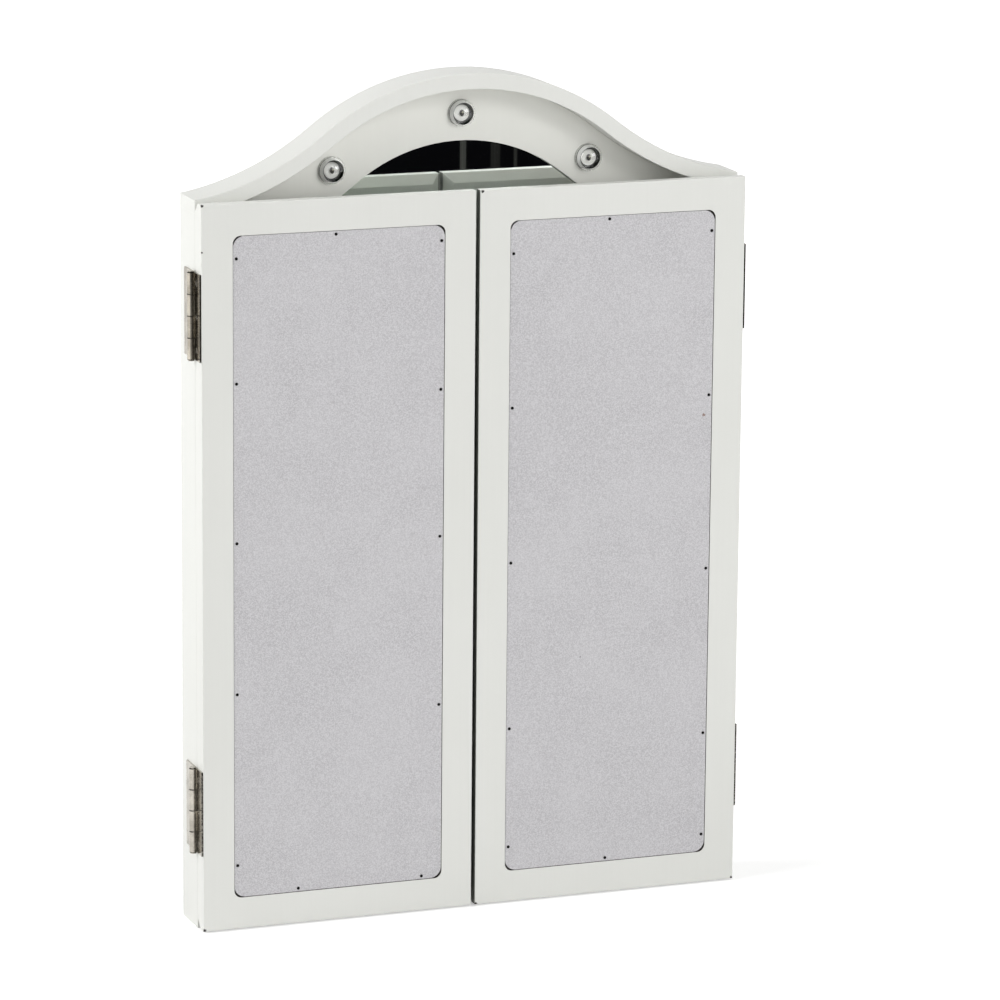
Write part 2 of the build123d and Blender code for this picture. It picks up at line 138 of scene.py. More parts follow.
# Boxes on a wing where bare fibre and painted shade show, from its front face and its outline
POCKET_INSET = 23.97 * MM
POCKET_MIDDLE = 1.95 * MM
POCKET_HALF_DEPTH = 1.65 * MM
EDGE_MIDDLE = 8.5 * MM
EDGE_HALF_DEPTH = 7.5 * MM
EDGE_HALF_WIDTH = 0.1 * MM
CHIP_INSET = 0.5 * MM

# Marks on the right wing's board, in millimetres across from its meeting edge and up
SPECK_PLACE = (181.8, 368.8)
SPECK_RADIUS = 1.2 * MM
DOT_PLACE = (83.7, 187.5)
DOT_RADIUS = 0.7 * MM
SCUFF_START = (51.8, 115.6)
SCUFF_RUN = (12.2, -7.4)
SCUFF_BEND = 1.6
SCUFF_SPOTS = 5
SCUFF_RADIUS = 1.1 * MM

# Where a hinge's barrel starts, across from the middle of the case
BARREL_START = HALF_WIDTH + 1.6 * MM

# How squarely a face counts as facing, how near counts as level, how near points are welded, the
# angle past which an edge shades as sharp, and the angle under which faces are merged
FACING = 0.9
LEVEL = 0.01 * MM
WELD = 0.005 * MM
SHARP_ANGLE = math.radians(35)
FLAT_ANGLE = math.radians(0.5)

# Studio, in metres and watts: the floor, the dark cloth and slats that only glass and gloss see,
# the soft lights, and how the sky and the floor glow
FLOOR_SIZE = 30.0
CLOTH_PLACE = (0.3, -1.6, 0.45)
CLOTH_WIDTH = 4.4
CLOTH_HEIGHT = 0.9
CLOTH_PALE_BELOW = -0.28
SHEET_FOOT = -0.5
SLATS = ((0.592, 0.007, 0.06), (0.629, 0.011, 0.02), (0.652, 0.004, 0.03))
SLAT_Y = -1.59
SLAT_Z = 0.55
SLAT_HEIGHT = 0.66
SLAT_PALE_BELOW = -0.49
SOFTBOXES = (
    ("front right softbox", (1.35, -2.3, 1.75), 1.1, 25.0),
    ("left softbox", (-2.4, 0.1, 1.5), 2.0, 44.0),
    ("overhead softbox", (-0.2, 0.2, 2.6), 1.6, 8.0),
    ("low front fill", (0.9, -3.1, 0.4), 2.0, 25.0),
)
LIGHT_AIM = (0, 0, 0.3)
SKY_LIGHT = 0.34
GLOW_NEAR = 0.42
GLOW_FROM = 0.35
GLOW_FULL_AT = 3.0


# Starts a node group and returns its tree with its entry and exit
def start_group(name, inputs, outputs):
    tree = bpy.data.node_groups.new(name, "ShaderNodeTree")
    for label, kind, value in inputs:
        socket = tree.interface.new_socket(label, in_out="INPUT", socket_type=kind)
        socket.default_value = value
    for label, kind in outputs:
        tree.interface.new_socket(label, in_out="OUTPUT", socket_type=kind)
    return tree, add(tree, "NodeGroupInput"), add(tree, "NodeGroupOutput")


# Adds a node and gives its settings and its inputs by name or number
def add(tree, kind, settings=None, **inputs):
    made = tree.nodes.new(kind)
    for key, value in (settings or {}).items():
        setattr(made, key, value)
    for key, value in inputs.items():
        feed(tree, made.inputs[key.replace("_", " ")], value)
    return made


# Sets a socket, or joins it to another socket
def feed(tree, socket, value):
    if isinstance(value, bpy.types.NodeSocket):
        tree.links.new(value, socket)
    elif socket.type == "RGBA" and len(value) == 3:
        socket.default_value = (*value, 1.0)
    else:
        socket.default_value = value


def maths(tree, operation, first, second=0.0, clamp=False):
    made = add(tree, "ShaderNodeMath", {"operation": operation, "use_clamp": clamp})
    feed(tree, made.inputs[0], first)
    feed(tree, made.inputs[1], second)
    return made.outputs[0]


def blended(tree, amount, first, second):
    made = add(tree, "ShaderNodeMix", {"data_type": "RGBA"})
    feed(tree, made.inputs[0], amount)
    feed(tree, made.inputs[6], first)
    feed(tree, made.inputs[7], second)
    return made.outputs[2]


# Maps a value from one range onto another, clamped
def ranged(tree, value, low, high, to_low, to_high):
    made = add(tree, "ShaderNodeMapRange")
    for place, given in enumerate((value, low, high, to_low, to_high)):
        feed(tree, made.inputs[place], given)
    return made.outputs[0]


def noise(tree, vector, scale, detail=2.0, roughness=0.5):
    made = add(tree, "ShaderNodeTexNoise", Vector=vector, Scale=scale, Detail=detail, Roughness=roughness)
    return made.outputs["Fac"]


# Cloudy change between two tones, with a fine speckle on top
def tone_group():
    tree, entry, leave = start_group("cloudy tone", [
        ("Vector", "NodeSocketVector", (0, 0, 0)),
        ("Tone", "NodeSocketColor", (1, 1, 1, 1)),
        ("Other Tone", "NodeSocketColor", (1, 1, 1, 1)),
        ("Cloud Scale", "NodeSocketFloat", 10.0),
        ("Speckle Scale", "NodeSocketFloat", 500.0),
        ("Speckle", "NodeSocketFloat", 0.3),
    ], [("Color", "NodeSocketColor"), ("Mask", "NodeSocketFloat")])
    ins = entry.outputs
    cloud = ranged(tree, noise(tree, ins["Vector"], ins["Cloud Scale"], 3.0), 0.35, 0.65, 0.0, 1.0)
    speckle = ranged(tree, noise(tree, ins["Vector"], ins["Speckle Scale"], 2.0, 0.6), 0.3, 0.7, -0.5, 0.5)
    mask = maths(tree, "ADD", cloud, maths(tree, "MULTIPLY", speckle, ins["Speckle"]), clamp=True)
    tree.links.new(blended(tree, mask, ins["Tone"], ins["Other Tone"]), leave.inputs["Color"])
    tree.links.new(mask, leave.inputs["Mask"])
    return tree


# Long faint streaks, as a brush or a roller leaves them
def streak_group():
    tree, entry, leave = start_group("brush streaks", [
        ("Vector", "NodeSocketVector", (0, 0, 0)),
        ("Across", "NodeSocketFloat", 400.0),
        ("Along", "NodeSocketFloat", 6.0),
    ], [("Streak", "NodeSocketFloat")])
    ins = entry.outputs
    stretch = add(tree, "ShaderNodeCombineXYZ", X=ins["Across"], Y=ins["Across"], Z=ins["Along"])
    made = add(tree, "ShaderNodeVectorMath", {"operation": "MULTIPLY"})
    feed(tree, made.inputs[0], ins["Vector"])
    feed(tree, made.inputs[1], stretch.outputs[0])
    streak = ranged(tree, noise(tree, made.outputs[0], 1.0, 3.0, 0.6), 0.3, 0.7, 0.0, 1.0)
    tree.links.new(streak, leave.inputs["Streak"])
    return tree


# A small soft-edged spot round a point of the piece
def spot_group():
    tree, entry, leave = start_group("spot", [
        ("Vector", "NodeSocketVector", (0, 0, 0)),
        ("Centre", "NodeSocketVector", (0, 0, 0)),
        ("Radius", "NodeSocketFloat", 0.001),
        ("Ragged", "NodeSocketFloat", 0.4),
    ], [("Mask", "NodeSocketFloat")])
    ins = entry.outputs
    apart = add(tree, "ShaderNodeVectorMath", {"operation": "DISTANCE"})
    feed(tree, apart.inputs[0], ins["Vector"])
    feed(tree, apart.inputs[1], ins["Centre"])
    rough = ranged(tree, noise(tree, ins["Vector"], 1800.0, 1.0), 0.3, 0.7, -1.0, 1.0)
    rim = maths(tree, "ADD", 1.0, maths(tree, "MULTIPLY", rough, ins["Ragged"]))
    rim = maths(tree, "MULTIPLY", rim, ins["Radius"])
    mask = ranged(tree, maths(tree, "DIVIDE", apart.outputs["Value"], rim), 0.75, 1.05, 1.0, 0.0)
    tree.links.new(mask, leave.inputs["Mask"])
    return tree


# Whether a point lies in a box, given by its middle and half its size
def inside_group():
    tree, entry, leave = start_group("inside a box", [
        ("Vector", "NodeSocketVector", (0, 0, 0)),
        ("Middle", "NodeSocketVector", (0, 0, 0)),
        ("Half", "NodeSocketVector", (1, 1, 1)),
    ], [("Mask", "NodeSocketFloat")])
    ins = entry.outputs
    mask = 1.0
    steps = []
    for operation in ("SUBTRACT", "ABSOLUTE", "SUBTRACT"):
        steps.append(add(tree, "ShaderNodeVectorMath", {"operation": operation}))
    feed(tree, steps[0].inputs[0], ins["Vector"])
    feed(tree, steps[0].inputs[1], ins["Middle"])
    feed(tree, steps[1].inputs[0], steps[0].outputs[0])
    feed(tree, steps[2].inputs[0], ins["Half"])
    feed(tree, steps[2].inputs[1], steps[1].outputs[0])
    room = add(tree, "ShaderNodeSeparateXYZ", Vector=steps[2].outputs[0]).outputs
    for way in "XYZ":
        mask = maths(tree, "MULTIPLY", mask, maths(tree, "GREATER_THAN", room[way], 0.0))
    tree.links.new(mask, leave.inputs["Mask"])
    return tree


# Painted highlight along an edge, in patches: where the rounded normal leaves the flat one
def edge_highlight_group():
    tree, entry, leave = start_group("painted edge highlight", [
        ("Vector", "NodeSocketVector", (0, 0, 0)),
        ("Width", "NodeSocketFloat", 0.0006),
        ("Patchy", "NodeSocketFloat", 60.0),
    ], [("Mask", "NodeSocketFloat")])
    ins = entry.outputs
    rounded = add(tree, "ShaderNodeBevel", {"samples": 4}, Radius=ins["Width"])
    flat = add(tree, "ShaderNodeNewGeometry")
    along = add(tree, "ShaderNodeVectorMath", {"operation": "DOT_PRODUCT"})
    tree.links.new(rounded.outputs[0], along.inputs[0])
    tree.links.new(flat.outputs["Normal"], along.inputs[1])
    edge = ranged(tree, along.outputs["Value"], 0.80, 0.99, 1.0, 0.0)
    patch = ranged(tree, noise(tree, ins["Vector"], ins["Patchy"], 3.0), 0.35, 0.60, 0.3, 1.0)
    tree.links.new(maths(tree, "MULTIPLY", edge, patch), leave.inputs["Mask"])
    return tree


# Painted shade in the joints between a hinge's knuckles, at the barrel's root and along a leaf's front edge
def joint_shade_group():
    tree, entry, leave = start_group("hinge joint shade", [
        ("Vector", "NodeSocketVector", (0, 0, 0)),
        ("Low", "NodeSocketFloat", 0.0),
        ("Step", "NodeSocketFloat", 0.016),
        ("Barrel", "NodeSocketFloat", 0.215),
        ("Front", "NodeSocketFloat", -1.0),
        ("Pin", "NodeSocketFloat", -0.011),
    ], [("Mask", "NodeSocketFloat")])
    ins = entry.outputs
    place = add(tree, "ShaderNodeSeparateXYZ", Vector=ins["Vector"]).outputs
    across = maths(tree, "ABSOLUTE", place["X"])
    share = maths(tree, "DIVIDE", maths(tree, "SUBTRACT", place["Z"], ins["Low"]), ins["Step"])
    apart = maths(tree, "MULTIPLY", maths(tree, "PINGPONG", share, 0.5), ins["Step"])
    ring = ranged(tree, apart, 0.25 * MM, 0.65 * MM, 1.0, 0.0)
    out = maths(tree, "GREATER_THAN", across, ins["Barrel"])
    edge = ranged(tree, maths(tree, "SUBTRACT", place["Y"], ins["Front"]), 0.7 * MM, 1.5 * MM, 1.0, 0.0)
    rough = ranged(tree, noise(tree, ins["Vector"], 700.0), 0.30, 0.55, 0.45, 1.0)
    near = ranged(tree, maths(tree, "SUBTRACT", across, ins["Barrel"]), 1.4 * MM, 2.6 * MM, 1.0, 0.0)
    ahead = ranged(tree, maths(tree, "SUBTRACT", ins["Pin"], place["Y"]), 1.6 * MM, 2.4 * MM, 0.0, 0.8)
    root = maths(tree, "MULTIPLY", maths(tree, "MULTIPLY", near, ahead), out)
    worst = maths(tree, "MAXIMUM", maths(tree, "MULTIPLY", ring, out), maths(tree, "MAXIMUM", edge, root))
    tree.links.new(maths(tree, "MULTIPLY", worst, rough), leave.inputs["Mask"])
    return tree


TONE = tone_group()
JOINT_SHADE = joint_shade_group()
STREAK = streak_group()
SPOT = spot_group()
INSIDE = inside_group()
EDGE_HIGHLIGHT = edge_highlight_group()


# Places a node group in a material with its own values
def use(tree, group, **inputs):
    made = tree.nodes.new("ShaderNodeGroup")
    made.node_tree = group
    for key, value in inputs.items():
        feed(tree, made.inputs[key.replace("_", " ")], value)
    return made.outputs


# A material with its tree, its Principled shader and its Object coordinates
def start_material(name):
    made = bpy.data.materials.new(name)
    made.use_nodes = True
    tree = made.node_tree
    shader = tree.nodes["Principled BSDF"]
    place = add(tree, "ShaderNodeTexCoord").outputs["Object"]
    return made, tree, shader, place


def relief(tree, shader, height, distance, strength=1.0, normal=None):
    bump = add(tree, "ShaderNodeBump", Strength=strength, Distance=distance, Height=height)
    if normal is not None:
        tree.links.new(normal, bump.inputs["Normal"])
    tree.links.new(bump.outputs["Normal"], shader.inputs["Normal"])


# Off-white paint with faint brush streaks, a painted highlight along the edges, chips down to the dark
# fibre, and boxes of bare fibre or painted shade, each with its middle, its half size and its tone
def painted(name, tone, dull, chips=(), boxes=()):
    made, tree, shader, place = start_material(name)
    cloudy = use(tree, TONE, Vector=place, Tone=tone, Other_Tone=dull, Cloud_Scale=7.0,
                 Speckle_Scale=900.0, Speckle=0.20)
    streak = use(tree, STREAK, Vector=place, Across=420.0, Along=5.0)["Streak"]
    colour = blended(tree, 0.32, tone, cloudy["Color"])
    colour = blended(tree, maths(tree, "MULTIPLY", streak, 0.16), colour, dull)
    # A painted highlight: a paler tone along the edges, in patches
    highlight = use(tree, EDGE_HIGHLIGHT, Vector=place, Width=0.6 * MM, Patchy=25.0)["Mask"]
    colour = blended(tree, maths(tree, "MULTIPLY", highlight, 0.55), colour, EDGE_HIGHLIGHT_TONE)
    # Painted shade: the pocket darker than bare fibre, and the meeting edge dark
    for middle, half, tint in boxes:
        inside = use(tree, INSIDE, Vector=place, Middle=middle, Half=half)["Mask"]
        colour = blended(tree, inside, colour, tint)
    for centre, radius in chips:
        chip = use(tree, SPOT, Vector=place, Centre=centre, Radius=radius, Ragged=0.35)["Mask"]
        colour = blended(tree, chip, colour, BARE_FIBRE)
    feed(tree, shader.inputs["Base Color"], colour)
    feed(tree, shader.inputs["Roughness"], ranged(tree, cloudy["Mask"], 0.0, 1.0, 0.36, 0.46))
    height = maths(tree, "ADD", maths(tree, "MULTIPLY", streak, 0.6), noise(tree, place, 1100.0, 2.0))
    rounded = add(tree, "ShaderNodeBevel", {"samples": 4}, Radius=0.4 * MM)
    relief(tree, shader, height, 0.02 * MM, 0.5, rounded.outputs["Normal"])
    return made


# Paper-faced fibreboard: a fine lilac-grey mottle with darker flecks, and a few marks
def paper_board(name, marks=()):
    made, tree, shader, place = start_material(name)
    fine = use(tree, TONE, Vector=place, Tone=BOARD, Other_Tone=BOARD_LIGHT, Cloud_Scale=1150.0,
               Speckle_Scale=2600.0, Speckle=0.9)
    wide = ranged(tree, noise(tree, place, 22.0, 2.0), 0.35, 0.65, 0.0, 1.0)
    colour = blended(tree, maths(tree, "MULTIPLY", wide, 0.25), fine["Color"], BOARD_LIGHT)
    fleck = ranged(tree, noise(tree, place, 760.0, 2.0, 0.6), 0.60, 0.72, 0.0, 0.55)
    colour = blended(tree, fleck, colour, BOARD_FLECK)
    for centre, radius, tint, strength in marks:
        mark = use(tree, SPOT, Vector=place, Centre=centre, Radius=radius, Ragged=0.5)["Mask"]
        colour = blended(tree, maths(tree, "MULTIPLY", mark, strength), colour, tint)
    feed(tree, shader.inputs["Base Color"], colour)
    feed(tree, shader.inputs["Roughness"], ranged(tree, fine["Mask"], 0.0, 1.0, 0.78, 0.92))
    relief(tree, shader, fine["Mask"], 0.06 * MM, 0.6)
    return made


def bare_wood(name):
    made, tree, shader, place = start_material(name)
    grain = use(tree, STREAK, Vector=place, Across=260.0, Along=8.0)["Streak"]
    rings = use(tree, STREAK, Vector=place, Across=60.0, Along=2.0)["Streak"]
    colour = blended(tree, maths(tree, "MULTIPLY", grain, rings), SOFTWOOD, SOFTWOOD_DARK)
    feed(tree, shader.inputs["Base Color"], colour)
    shader.inputs["Roughness"].default_value = 0.68
    relief(tree, shader, grain, 0.08 * MM, 0.6)
    return made


# Plated or plain metal with a fine grain and dulled patches; for a hinge, painted shade goes into the
# knuckle joints, at the barrel's root and along the leaf's front edge, given the lowest joint of the
# knuckles, the step between joints, the barrel's nearest x, the leaf's front edge and the pin's middle
def metal(name, tone, dull, smooth, rough, grain=900.0, joint_shade=None):
    made, tree, shader, place = start_material(name)
    cloudy = use(tree, TONE, Vector=place, Tone=tone, Other_Tone=dull, Cloud_Scale=90.0,
                 Speckle_Scale=grain, Speckle=0.5)
    streak = use(tree, STREAK, Vector=place, Across=1500.0, Along=60.0)["Streak"]
    colour = blended(tree, 0.6, tone, cloudy["Color"])
    # Painted shade in the knuckle joints, at the barrel's root and along the leaf's front edge
    if joint_shade:
        joint_shade_mask = use(tree, JOINT_SHADE, Vector=place, **joint_shade)["Mask"]
        colour = blended(tree, joint_shade_mask, colour, HINGE_JOINT_SHADE)
    feed(tree, shader.inputs["Base Color"], colour)
    shader.inputs["Metallic"].default_value = 1.0
    wear = maths(tree, "MULTIPLY", maths(tree, "ADD", cloudy["Mask"], streak), 0.5)
    feed(tree, shader.inputs["Roughness"], ranged(tree, wear, 0.0, 1.0, smooth, rough))
    rounded = add(tree, "ShaderNodeBevel", {"samples": 4}, Radius=0.2 * MM)
    relief(tree, shader, streak, 0.01 * MM, 0.4, rounded.outputs["Normal"])
    return made


# Moulded plastic, rubber or foam: one tone, slightly cloudy, with a moulded or open texture
def moulded(name, tone, roughness, texture=1400.0, depth=0.02 * MM, spread=0.85):
    made, tree, shader, place = start_material(name)
    dull = tuple(value * spread for value in tone)
    cloudy = use(tree, TONE, Vector=place, Tone=tone, Other_Tone=dull, Cloud_Scale=60.0,
                 Speckle_Scale=texture, Speckle=0.4)
    feed(tree, shader.inputs["Base Color"], cloudy["Color"])
    feed(tree, shader.inputs["Roughness"],
         ranged(tree, cloudy["Mask"], 0.0, 1.0, roughness, min(1.0, roughness + 0.1)))
    relief(tree, shader, noise(tree, place, texture, 2.0), depth, 0.5)
    return made


# The silver behind the glass, with the faintest clouding
def silvered(name):
    made, tree, shader, place = start_material(name)
    cloudy = use(tree, TONE, Vector=place, Tone=SILVER, Other_Tone=SILVER_CLOUD,
                 Cloud_Scale=9.0, Speckle_Scale=700.0, Speckle=0.1)
    feed(tree, shader.inputs["Base Color"], cloudy["Color"])
    shader.inputs["Metallic"].default_value = 1.0
    feed(tree, shader.inputs["Roughness"], ranged(tree, cloudy["Mask"], 0.0, 1.0, 0.004, 0.012))
    return made


# Clear glass or plastic that lets light through to what lies behind it
def clear(name, tint, index, smear):
    made, tree, shader, place = start_material(name)
    cloudy = use(tree, TONE, Vector=place, Tone=tint, Other_Tone=tuple(v * 0.985 for v in tint),
                 Cloud_Scale=20.0, Speckle_Scale=800.0, Speckle=0.2)
    feed(tree, shader.inputs["Base Color"], cloudy["Color"])
    feed(tree, shader.inputs["Roughness"], ranged(tree, cloudy["Mask"], 0.0, 1.0, 0.0, smear))
    shader.inputs["Transmission Weight"].default_value = 1.0
    shader.inputs["IOR"].default_value = index
    through = add(tree, "ShaderNodeBsdfTransparent", Color=tint)
    path = add(tree, "ShaderNodeLightPath")
    either = add(tree, "ShaderNodeMixShader")
    tree.links.new(path.outputs["Is Shadow Ray"], either.inputs[0])
    tree.links.new(shader.outputs[0], either.inputs[1])
    tree.links.new(through.outputs[0], either.inputs[2])
    tree.links.new(either.outputs[0], tree.nodes["Material Output"].inputs["Surface"])
    return made


# Each wing's outline at rest, from its frame: its meeting edge, its hinge edge, bottom and top
def wing_outline(side):
    low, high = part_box(side + "_wing_frame")
    meeting, hinged = (low.x, high.x) if side == "right" else (high.x, low.x)
    return meeting, hinged, low.z, high.z, low.y


# Chips at the wings' corners, where the paint has gone
def wing_chips(side):
    meeting, hinged, bottom, top, front = wing_outline(side)
    inward = CHIP_INSET if side == "right" else -CHIP_INSET
    near, far = meeting + inward, hinged - inward
    if side == "left":
        return [
            ((far, front, top - 0.6 * MM), 1.3 * MM),
            ((far, front, bottom + 0.8 * MM), 1.6 * MM),
            ((far, front, top - 35 * MM), 0.8 * MM),
        ]
    return [
        ((near + 1.2 * MM, front, top - 1.0 * MM), 1.2 * MM),
        ((near, front, bottom + 0.4 * MM), 1.4 * MM),
        ((far - 0.6 * MM, front, bottom + 0.8 * MM), 1.2 * MM),
    ]


# The unpainted pocket under a wing's board, darkened further as painted shade in the gap round the
# board, and its meeting edge in painted shade, so that the gap between the wings reads dark
def wing_boxes(side):
    meeting, hinged, bottom, top, front = wing_outline(side)
    half_width = abs(hinged - meeting) / 2
    half_height = (top - bottom) / 2
    middle = Vector(((meeting + hinged) / 2, front + POCKET_MIDDLE, (bottom + top) / 2))
    half = Vector((half_width - POCKET_INSET, POCKET_HALF_DEPTH, half_height - POCKET_INSET))
    edge = Vector((meeting, front + EDGE_MIDDLE, middle.z))
    edge_half = Vector((EDGE_HALF_WIDTH, EDGE_HALF_DEPTH, half_height + MM))
    return [(middle, half, POCKET_FIBRE_AND_SHADE), (edge, edge_half, MEETING_GAP_SHADE)]


# A speck, a dot and a curved faint scuff on the right wing's board
def board_marks():
    frame_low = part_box("right_wing_frame")[0]
    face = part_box("right_wing_backing")[0].y

    def spot(across, up, radius, tint, strength):
        return (frame_low.x + across * MM, face, frame_low.z + up * MM), radius, tint, strength

    marks = [spot(*SPECK_PLACE, SPECK_RADIUS, RUST_SPECK, 0.8), spot(*DOT_PLACE, DOT_RADIUS, DARK_DOT, 0.6)]
    for step in range(SCUFF_SPOTS):
        share = step / (SCUFF_SPOTS - 1)
        across = SCUFF_START[0] + SCUFF_RUN[0] * share
        up = SCUFF_START[1] + SCUFF_RUN[1] * share ** SCUFF_BEND
        marks.append(spot(across, up, SCUFF_RADIUS, BOARD_FLECK, 0.25))
    return marks


materials = {
    "white_paint": painted("off-white paint", PAINT, PAINT_DULL),
    "fascia_paint": painted("fascia paint", FASCIA_PAINT, FASCIA_DULL),
    "backing_board": paper_board("paper-faced board"),
    "back_board": paper_board("back board"),
    "bare_wood": bare_wood("bare softwood"),
    "mirror_glass": clear("mirror glass", GLASS, 1.52, 0.004),
    "clear_lens": clear("clear lamp dome", LENS, 1.49, 0.02),
    "lamp_white": moulded("lamp base plastic", LAMP_WHITE, 0.30),
    "led_board": moulded("lamp disc", LAMP_DISC, 0.22),
    "harness": moulded("cable sheath", CABLE, 0.45),
    "foam": moulded("foam pad", FOAM, 0.95, texture=700.0, depth=0.3 * MM, spread=0.6),
    "hinge_steel": metal("plated hinge steel", NICKEL, NICKEL_DARK, 0.12, 0.34),
    "steel_nails": metal("nail steel", NAIL_STEEL, DARK_STEEL, 0.35, 0.60),
    "black_plastic": moulded("black plastic", BLACK_PLASTIC, 0.50),
    "black_gloss": moulded("socket plastic", BLACK_PLASTIC, 0.25),
    "button_plastic": moulded("button plastic", BUTTON_GREY, 0.45),
    "circuit_board": moulded("circuit board", CIRCUIT, 0.40),
}
brad_steel = metal("blackened brad steel", DARK_STEEL, DARK_STEEL_WORN, 0.35, 0.60)
silver = silvered("silvering")
# The lining's near-black tone paints the dark reflection seen in the clear dome
lining_reflection = moulded("lamp lining with painted dark reflection", LINING_DARK_REFLECTION, 0.22, spread=0.4)
cup_white = moulded("lamp cup", CUP_WHITE, 0.25)
chip_black = moulded("lamp chip", CHIP, 0.25)
resin = moulded("lamp resin", RESIN, 0.06)


# A hinge's leaves and pin: the upper hinges are browner than the lower ones
def hinge_finishes(side, level):
    wing_leaf = "%s_wing_%s_leaf" % (side, level)
    case_leaf, pin = ["%s_%s_%s" % (side, level, part) for part in ("case_leaf", "pin")]
    low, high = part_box(wing_leaf)
    tone, dull = (NICKEL, NICKEL_DARK) if level == "lower" else (BRONZE, BRONZE_DARK)
    name = "%s %s hinge" % (side, level)
    common = {"Low": low.z, "Step": (high.z - low.z) / KNUCKLES, "Barrel": BARREL_START,
              "Pin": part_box(pin)[0].y / 2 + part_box(pin)[1].y / 2}
    front = metal(name + " wing leaf", tone, dull, 0.08, 0.26, joint_shade={**common, "Front": low.y})
    rear = metal(name + " case leaf", tone, dull, 0.08, 0.26, joint_shade={**common, "Front": -1.0})
    return {wing_leaf: front, case_leaf: rear, pin: rear}


# Gives every carried node the finish of its slot
def dress_frame():
    slots = {entry["node"]: entry["material_slot"] for entry in frame["record"]["subparts"]}
    special = {"left_wing_brads": brad_steel, "right_wing_brads": brad_steel}
    for side in ("left", "right"):
        special[side + "_wing_frame"] = painted(side + " wing paint", PAINT, PAINT_DULL,
                                                wing_chips(side), wing_boxes(side))
        for level in ("lower", "upper"):
            special.update(hinge_finishes(side, level))
    special["right_wing_backing"] = paper_board("marked board", board_marks())
    for name, node in frame["nodes"].items():
        finish = special.get(name, materials[slots[name]])
        for place in range(max(1, len(node.material_slots))):
            if not node.material_slots:
                node.data.materials.append(finish)
            node.material_slots[place].material = finish


# Leaves nothing selected, so that an operator acts on the next piece alone
def deselect():
    if bpy.context.object and bpy.context.object.mode == "EDIT":
        bpy.ops.object.mode_set(mode="OBJECT")
    bpy.ops.object.select_all(action="DESELECT")


def choose(piece):
    deselect()
    piece.select_set(True)
    bpy.context.view_layer.objects.active = piece


# Selects the faces that a test picks, and enters edit mode on them
def choose_faces(piece, test):
    choose(piece)
    bpy.ops.object.mode_set(mode="EDIT")
    bpy.ops.mesh.select_mode(type="FACE")
    bpy.ops.mesh.select_all(action="DESELECT")
    bpy.ops.object.mode_set(mode="OBJECT")
    for face in piece.data.polygons:
        face.select = test(face)
    bpy.ops.object.mode_set(mode="EDIT")


def finished(piece, name, finish, body):
    choose(piece)
    bpy.ops.object.transform_apply(location=True, rotation=True, scale=True)
    bpy.ops.object.shade_smooth_by_angle(angle=SHARP_ANGLE)
    piece.name = name
    piece.data.name = name
    piece.data.materials.clear()
    piece.data.materials.append(finish)
    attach(piece, body)
    return piece


# A round piece turned out of a bar that points forward: each step insets its front face and
# pushes it forward, or back where the push is negative
def turned_piece(radius, back_y, height, steps, sides=64):
    deselect()
    bpy.ops.mesh.primitive_cylinder_add(vertices=sides, radius=radius, depth=height,
                                        location=(0, back_y - height / 2, 0), rotation=(math.pi / 2, 0, 0))
    piece = bpy.context.object
    bpy.ops.object.transform_apply(location=True, rotation=True, scale=True)
    front = min(vertex.co.y for vertex in piece.data.vertices)
    choose_faces(piece, lambda face: face.normal.y < -FACING and abs(face.center.y - front) < LEVEL)
    for inset, push in steps:
        bpy.ops.mesh.inset(thickness=inset, depth=push)
    bpy.ops.object.mode_set(mode="OBJECT")
    return piece


# A copy of a piece with a mesh of its own, moved to its place
def copied(piece, shift):
    twin = piece.copy()
    twin.data = piece.data.copy()
    twin.data.transform(Matrix.Translation(shift))
    bpy.context.collection.objects.link(twin)
    return twin


def lamp_names():
    return sorted(name for name in frame["nodes"] if name.startswith("lamp_lens_"))


# A thin round wall about the forward axis, through pairs of radius and height in millimetres
def round_wall(stops, thickness, sides=64):
    deselect()
    radius, height = stops[0]
    bpy.ops.mesh.primitive_circle_add(vertices=sides, radius=radius * MM, location=(0, -height * MM, 0),
                                      rotation=(math.pi / 2, 0, 0))
    wall = bpy.context.object
    choose(wall)
    bpy.ops.object.transform_apply(location=True, rotation=True, scale=True)
    bpy.ops.object.mode_set(mode="EDIT")
    bpy.ops.mesh.select_all(action="SELECT")
    for wider, higher in stops[1:]:
        bpy.ops.mesh.extrude_region_move(TRANSFORM_OT_translate={"value": (0, (height - higher) * MM, 0)})
        share = wider / radius
        bpy.ops.transform.resize(value=(share, 1, share), center_override=(0, -higher * MM, 0))
        radius, height = wider, higher
    bpy.ops.object.mode_set(mode="OBJECT")
    body = wall.modifiers.new("wall", "SOLIDIFY")
    body.thickness = thickness
    body.offset = 0.0
    bpy.ops.object.modifier_apply(modifier=body.name)
    bpy.ops.object.mode_set(mode="EDIT")
    bpy.ops.mesh.select_all(action="SELECT")
    bpy.ops.mesh.normals_make_consistent(inside=False)
    bpy.ops.object.mode_set(mode="OBJECT")
    return wall


